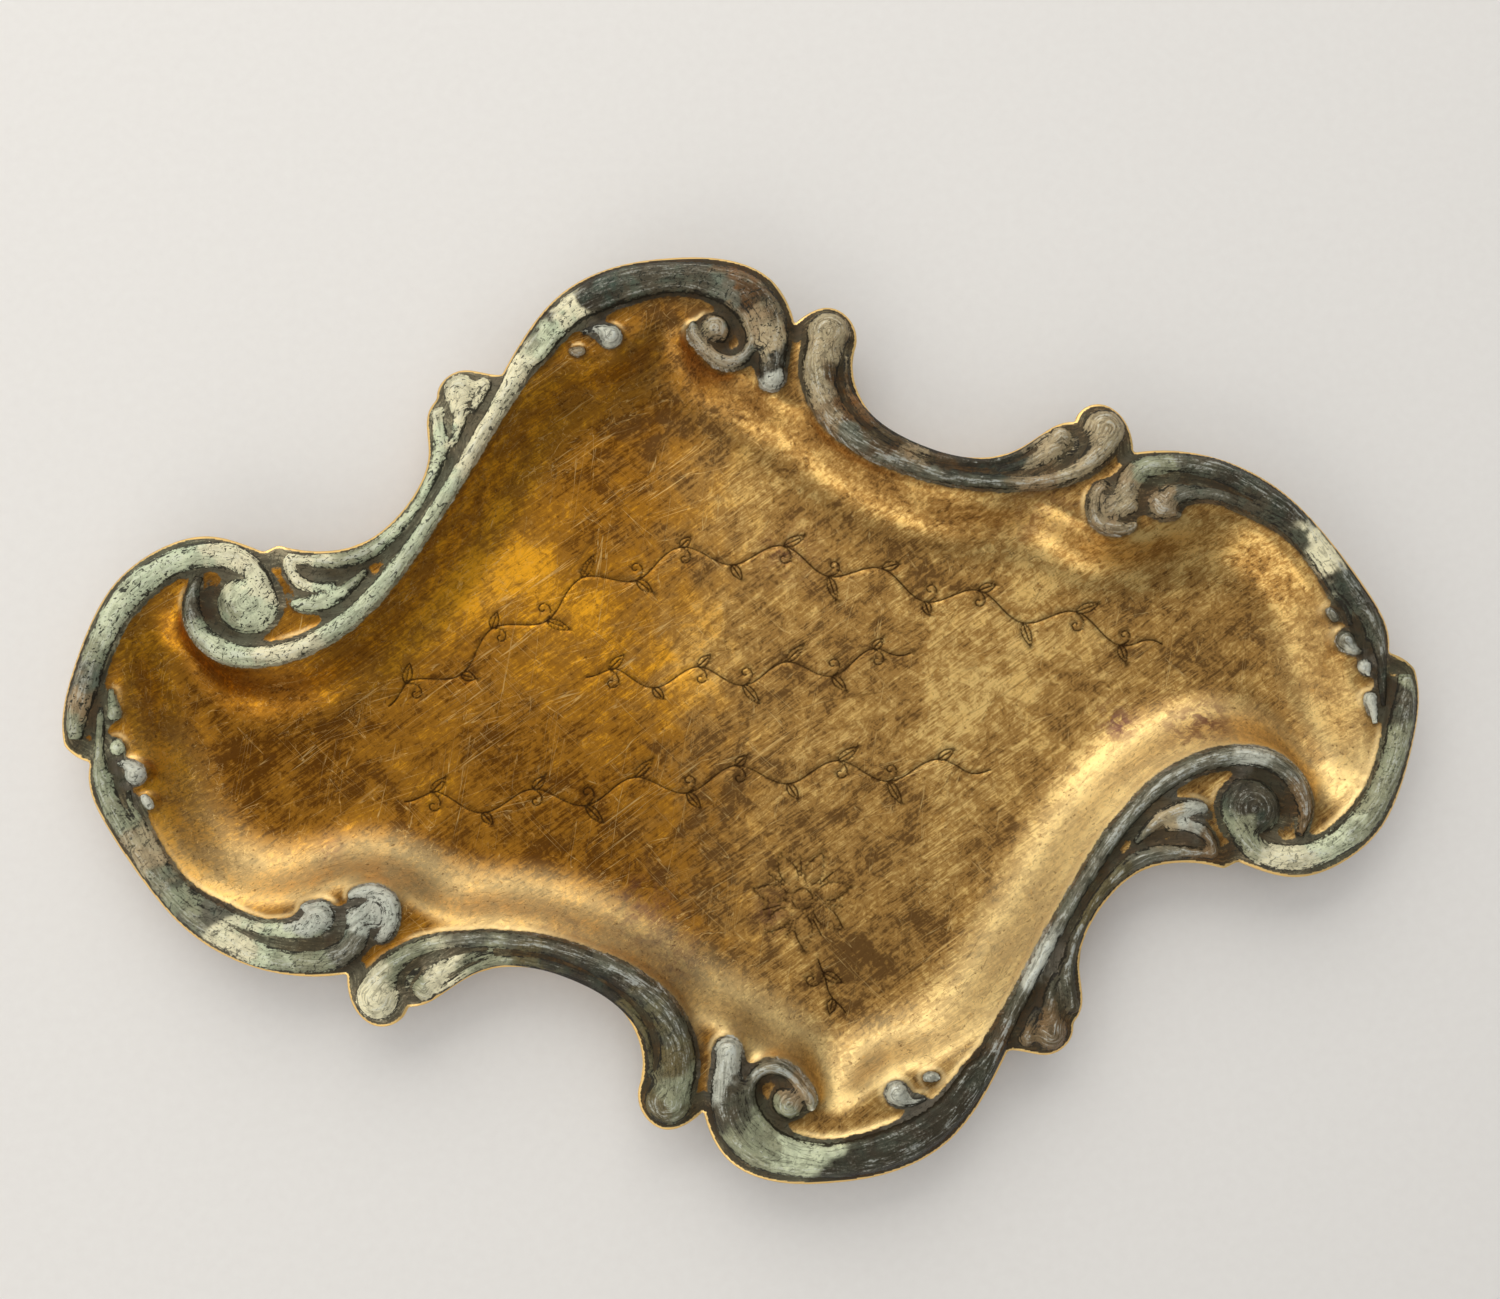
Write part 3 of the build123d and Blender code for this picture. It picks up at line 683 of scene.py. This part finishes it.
def brass_material():
    """Old brass: amber to the left, khaki to the right, brushed, scratched, dirty and painted with shade
    beside the castings, with painted highlights where it faces the window.
    """
    s = Shader("old_brass")
    brushing = math.radians(38)
    plain = s.place()
    strokes = s.noise(s.place(brushing, (0.05, 1.5, 1)), 1.0, 4, 0.6, 0.15)
    fine_strokes = s.noise(s.place(brushing - 0.08, (0.07, 4.5, 1), (7, 3, 0)), 1.0, 4, 0.65, 0.05)
    cross_strokes = s.noise(s.place(brushing - 0.22, (0.06, 3.0, 1), (2, 9, 0)), 1.0, 5, 0.7, 0.12)
    upright_strokes = s.noise(s.place(brushing + 0.5, (0.08, 3.0, 1), (4, 6, 0)), 1.0, 5, 0.7, 0.15)
    where = s.noise(s.place(0, (1, 1, 1), (40, 0, 0)), 0.08, 3)
    crossed, upright = s.band(where, 0.44, 0.54), s.band(where, 0.46, 0.36, 0.0, 0.6)
    clouds = s.noise(plain, 0.045, 4, 0.6, 0.4)
    blotches = s.noise(plain, 0.18, 6, 0.62, 0.5)
    mottle = s.noise(plain, 0.75, 6, 0.7, 0.8)
    freckles = s.noise(plain, 1.4, 4, 0.6)
    flecks = s.noise(s.place(0, (1, 1, 1), (0, 0, 30)), 0.9, 3, 0.6, 0.5)

    def hairlines(turn, seed, width):
        """Thin scratches: where a stretched noise crosses its middle value, broken by another noise."""
        ridge = s.noise(s.place(turn, (0.035, 0.9, 1), seed), 1.0, 1.5, 0.4, 0.3)
        line = s.band(s.math("ABSOLUTE", s.math("SUBTRACT", ridge, 0.5)), 0.0, width, 1.0, 0.0)
        broken = s.band(s.noise(s.place(turn, (0.04, 0.3, 1), seed), 1.0, 2), 0.52, 0.60)
        return s.times(line, broken)

    scratches = hairlines(brushing - 0.1, (3, 1, 0), 0.013)
    for turn, seed, width in ((0.25, (11, 5, 0), 0.009), (1.35, (23, 8, 0), 0.009), (2.3, (31, 2, 0), 0.008)):
        scratches = s.math("MAXIMUM", scratches, hairlines(turn, seed, width))

    dull_scratches = s.math("MAXIMUM", hairlines(0.5, (5, 14, 0), 0.02), hairlines(0.9, (17, 6, 0), 0.02))
    dull_scratches = s.math("MAXIMUM", dull_scratches, hairlines(0.15, (8, 27, 0), 0.02))

    amber = s.add(s.attribute("amber"), s.band(blotches, 0.35, 0.65, -0.2, 0.2))
    amber = s.band(s.add(amber, s.times(s.attribute("pale"), -0.5)), 0.0, 1.0)
    texture = s.band(clouds, 0.3, 0.7, 0.3, -0.2)
    for pattern, amount in ((blotches, 0.5), (mottle, 0.5), (strokes, 0.25), (fine_strokes, 0.32)):
        texture = s.add(texture, s.band(pattern, 0.3, 0.7, amount, -amount))
    for pattern, share, amount in ((cross_strokes, crossed, 0.35), (upright_strokes, upright, 0.3)):
        texture = s.add(texture, s.times(share, s.band(pattern, 0.3, 0.7, amount, -amount)))
    # Broad spots of tone, partly painted shade and painted reflection, over the brushed texture.
    tone = s.add(s.attribute("tone"), s.times(texture, s.band(amber, 0.0, 1.0, 1.35, 0.9)))
    # Slopes that face the window get a painted highlight, and those turned away a painted shade.
    tone = s.add(tone, s.times(s.attribute("pale"), -0.7))
    tone = s.add(tone, s.times(s.attribute("turned_away"), -0.6))
    colour = s.mix(s.band(tone, 0.0, 1.0), s.mix(amber, KHAKI, AMBER), s.mix(amber, DARK_KHAKI, DARK_AMBER))
    colour = s.mix(s.band(tone, 0.0, -1.6), colour, s.mix(amber, BRIGHT_KHAKI, BRIGHT_AMBER))
    # Painted highlight: pale gold on the slopes that face the window.
    colour = s.mix(s.times(s.attribute("pale"), 0.4), colour, SLOPE_HIGHLIGHT)
    colour = s.mix(s.band(freckles, 0.60, 0.70, 0, 0.6), colour, FRECKLE)
    colour = s.mix(s.band(flecks, 0.60, 0.72, 0, 0.3), colour, FLECK)
    stain = s.times(s.attribute("stain"), s.band(s.noise(plain, 0.5, 4, 0.7, 0.6), 0.4, 0.6))
    colour = s.mix(s.math("MINIMUM", stain, 0.8), colour, STAIN)
    colour = s.mix(s.times(dull_scratches, 0.4), colour, DULL_SCRATCH)
    colour = s.mix(s.times(scratches, 0.4), colour, BRIGHT_SCRATCH)
    colour = s.mix(s.times(s.attribute("shade"), 0.45), colour, SHADED_BRASS)
    # Painted highlight: a bright line beside the castings on the side that faces the window.
    colour = s.mix(s.times(s.attribute("painted_highlight"), 0.5), colour, HIGHLIGHT_BRASS)
    # Dirt and painted shade beside the castings and in the hollows between them.
    dirt_and_shade_amount = s.times(s.attribute("dirt_and_shade"), s.band(s.noise(plain, 0.8, 4), 0.2, 0.6, 0.6, 1.0))
    colour = s.mix(s.times(dirt_and_shade_amount, 0.85), colour, DIRT_AND_SHADE)
    colour = s.mix(s.times(s.attribute("groove"), 0.95), colour, GROOVE_DIRT)
    crust_colour, _, crust_rough, crust_height = patina_layers(s, crust=0.6, crevices=0.6)
    patina = s.add(s.attribute("patina"), s.band(s.noise(plain, 0.9, 5, 0.7), 0.3, 0.7, -0.25, 0.25))
    patina = s.band(patina, 0.35, 0.6)
    colour = s.mix(patina, colour, crust_colour)
    bright_edge = s.band(s.attribute("edge"), 0.35, 0.7)
    colour = s.mix(bright_edge, colour, TRIMMED_EDGE)

    rough = s.band(tone, -1.0, 1.0, 0.32, 0.46)
    rough = s.add(rough, s.band(fine_strokes, 0.3, 0.7, -0.05, 0.07))
    rough = s.add(rough, s.times(s.attribute("dirt_and_shade"), 0.22))
    rough = s.add(rough, s.times(s.attribute("pale"), 0.12))
    height = s.add(s.times(fine_strokes, 0.5), s.times(cross_strokes, 0.4))
    height = s.math("SUBTRACT", height, s.times(scratches, 0.5))
    height = s.add(height, s.times(mottle, 0.4))
    height = s.add(height, s.times(patina, crust_height))
    crusted = s.times(patina, s.math("SUBTRACT", 1.0, bright_edge))
    metal = s.math("SUBTRACT", s.math("SUBTRACT", 1.0, s.times(dirt_and_shade_amount, 0.45)), s.times(crusted, 0.9))
    rough = s.math("MAXIMUM", rough, s.times(crusted, crust_rough))
    return s.finish(Base_Color=colour, Metallic=metal, Roughness=rough, Specular_IOR_Level=0.15,
                    Normal=s.bump(height, strength=0.28, distance=0.14 * MM))


def patina_layers(s, crust, crevices=0.95):
    """Colour, metal, roughness and height of the patina: pale pitted crust, crevices dark with patina and
    painted shade, worn crests paler with painted highlights and glints.
    """
    plain = s.place()
    tint = s.attribute("tint", "Color")
    clouds = s.noise(plain, 0.35, 5, 0.65, 0.4)
    grain = s.noise(plain, 2.2, 6, 0.7, 0.3)
    # Streaks run along each casting: they change fast away from its outline, and slowly along it.
    depth = s.node("CombineXYZ", {"Z": s.times(s.attribute("across"), 2.4)}).outputs[0]
    lengthwise = s.node("VectorMath", {0: s.place(0, (0.3, 0.3, 0)), 1: depth}, operation="ADD").outputs[0]
    streaks = s.noise(lengthwise, 1.0, 5, 0.65, 0.4)

    ragged = s.add(s.attribute("relief"), s.band(grain, 0.3, 0.7, -0.16, 0.16))
    ragged = s.add(ragged, s.band(streaks, 0.3, 0.7, 0.25, -0.25))
    dark_tint = s.mix(0.62, tint, DARK_PATINA)
    pale_tint = s.mix(0.3, tint, PALE_PATINA)
    tint_cloud = s.band(s.noise(s.place(0, (1, 1, 1), (9, 0, 0)), 0.22, 3, 0.6), 0.42, 0.62, 0.0, 0.38)
    colour = s.mix(s.times(tint_cloud, crust), tint, s.mix(0.5, tint, VERDIGRIS))
    colour = s.mix(s.band(clouds, 0.42, 0.66, 0.0, 0.6), colour, dark_tint)
    # Paler crests: partly worn crust and partly painted highlight.
    colour = s.mix(s.band(ragged, 0.1, 0.55, 0.0, 0.55), colour, pale_tint)
    streaked = s.times(s.band(streaks, 0.53, 0.60), s.math("MULTIPLY_ADD", crust, -0.4, 0.9))
    colour = s.mix(streaked, colour, dark_tint)
    bare = s.math("SUBTRACT", 1.0, crust)
    # Painted glints: thin bright highlights along the crests, strongest on bare metal.
    glint = s.times(s.band(ragged, 0.3, 0.55), s.band(streaks, 0.49, 0.43))
    colour = s.mix(s.times(glint, s.math("MULTIPLY_ADD", bare, 0.3, 0.2)), colour, GLINT)
    # Crevices and outlines darkened: dark patina and painted shade.
    colour = s.mix(s.band(ragged, -0.03, -0.25, 0.0, crevices), colour, CREVICE)
    broad_pits = s.band(s.noise(s.place(0.8, (0.7, 1.3, 1)), 1.0, 4, 0.6, 1.2), 0.395, 0.375)
    small_pits = s.band(s.noise(s.place(0.3, (1.8, 2.9, 1)), 1.0, 2, 0.5, 0.6), 0.36, 0.335)
    pits = s.times(s.math("MAXIMUM", broad_pits, small_pits), crust)
    colour = s.mix(s.times(pits, 0.92), colour, PIT)

    metal = s.times(bare, s.band(ragged, -0.2, 0.6, 0.1, 0.8))
    rough = s.add(s.times(crust, 0.25), s.band(grain, 0.3, 0.7, 0.22, 0.36))
    height = s.add(s.times(grain, 0.5), s.times(pits, -0.9))
    height = s.add(height, s.times(streaks, -0.8))
    return colour, metal, rough, height


def patina_material():
    """Cast white metal under an old patina."""
    s = Shader("patinated_white_metal")
    colour, metal, rough, height = patina_layers(s, s.attribute("crust"))
    return s.finish(Base_Color=colour, Metallic=metal, Roughness=rough, Specular_IOR_Level=0.2,
                    Normal=s.bump(height, strength=0.8, distance=0.25 * MM))


def floor_material():
    """Plain pale paper for the ground."""
    s = Shader("pale_ground")
    grain = s.noise(s.place(), 0.6, 4)
    colour = s.mix(grain, srgb(226, 222, 216), srgb(232, 229, 223))
    return s.finish(Base_Color=colour, Roughness=0.85, Normal=s.bump(grain, strength=0.05, distance=0.2 * MM))


brass, patina, ground = brass_material(), patina_material(), floor_material()
make_tray().data.materials.append(brass)
for casting_node in CASTINGS:
    make_casting(casting_node).data.materials.append(patina)


# ---------------------------------------------------------------- floor, light and camera
def make_floor(half, cells=8):
    """A level square of ground, from -half to half both ways."""
    mesh = bpy.data.meshes.new("ground")
    steps = np.linspace(-half, half, cells + 1).tolist()
    points = [(x, y, 0) for y in steps for x in steps]
    row = cells + 1
    corners = [j * row + i for j in range(cells) for i in range(cells)]
    mesh.from_pydata(points, [], [(corner, corner + 1, corner + row + 1, corner + row) for corner in corners])
    mesh.materials.append(ground)
    floor = bpy.data.objects.new("ground", mesh)
    bpy.context.scene.collection.objects.link(floor)


def make_softbox(name, place, size, power, colour):
    """A rectangular area light that faces the middle of the tray."""
    light = bpy.data.lights.new(name, "AREA")
    light.shape, light.size, light.size_y = "RECTANGLE", size[0], size[1]
    light.energy, light.color = power, colour
    lamp = bpy.data.objects.new(name, light)
    lamp.location = place
    lamp.rotation_euler = (-Vector(place)).to_track_quat("-Z", "Y").to_euler()
    bpy.context.scene.collection.objects.link(lamp)


def make_camera():
    """A camera that looks almost straight down on the tray, a little tilted and rolled."""
    pitch, yaw, roll = -0.0981746, 0.0288731, 0.0595892              # radians
    seen_at = Vector((0.0653692, -9.273848, -234.5742427)) * MM      # the flange's middle, from the camera
    sensor = 36.0
    focal_share = 1444 / 1500                                        # focal length over picture width
    turn = Matrix.Rotation(pitch, 3, "X") @ Matrix.Rotation(yaw, 3, "Y") @ Matrix.Rotation(roll, 3, "Z")
    data = bpy.data.cameras.new("camera")
    data.sensor_fit, data.sensor_width, data.lens = "HORIZONTAL", sensor, focal_share * sensor
    data.clip_start, data.clip_end = 0.01, 10
    camera = bpy.data.objects.new("camera", data)
    facing = turn.transposed()
    place = Vector((0, 0, RIM)) - facing @ seen_at
    camera.matrix_world = Matrix.Translation(place) @ facing.to_4x4()
    bpy.context.scene.collection.objects.link(camera)
    bpy.context.scene.camera = camera


make_floor(1.2)
make_softbox("window", place=(-0.15, 0.8, 0.6), size=(1.2, 0.75), power=7.0, colour=(1.0, 0.98, 0.95))
make_softbox("side", place=(-0.8, 0.0, 0.45), size=(0.6, 0.9), power=1.7, colour=(1.0, 0.97, 0.93))
make_softbox("fill", place=(-0.45, -0.75, 0.45), size=(1.0, 0.5), power=3.0, colour=(1.0, 0.97, 0.93))
make_softbox("ceiling", place=(0.1, 0.1, 1.1), size=(0.9, 0.9), power=1.5, colour=(1.0, 0.98, 0.96))
make_camera()

world = bpy.data.worlds.new("studio")
world.use_nodes = True
world.node_tree.nodes["Background"].inputs["Color"].default_value = (0.92, 0.95, 1.0, 1)
world.node_tree.nodes["Background"].inputs["Strength"].default_value = 0.38
bpy.context.scene.world = world
bpy.context.scene.view_settings.view_transform = "Standard"
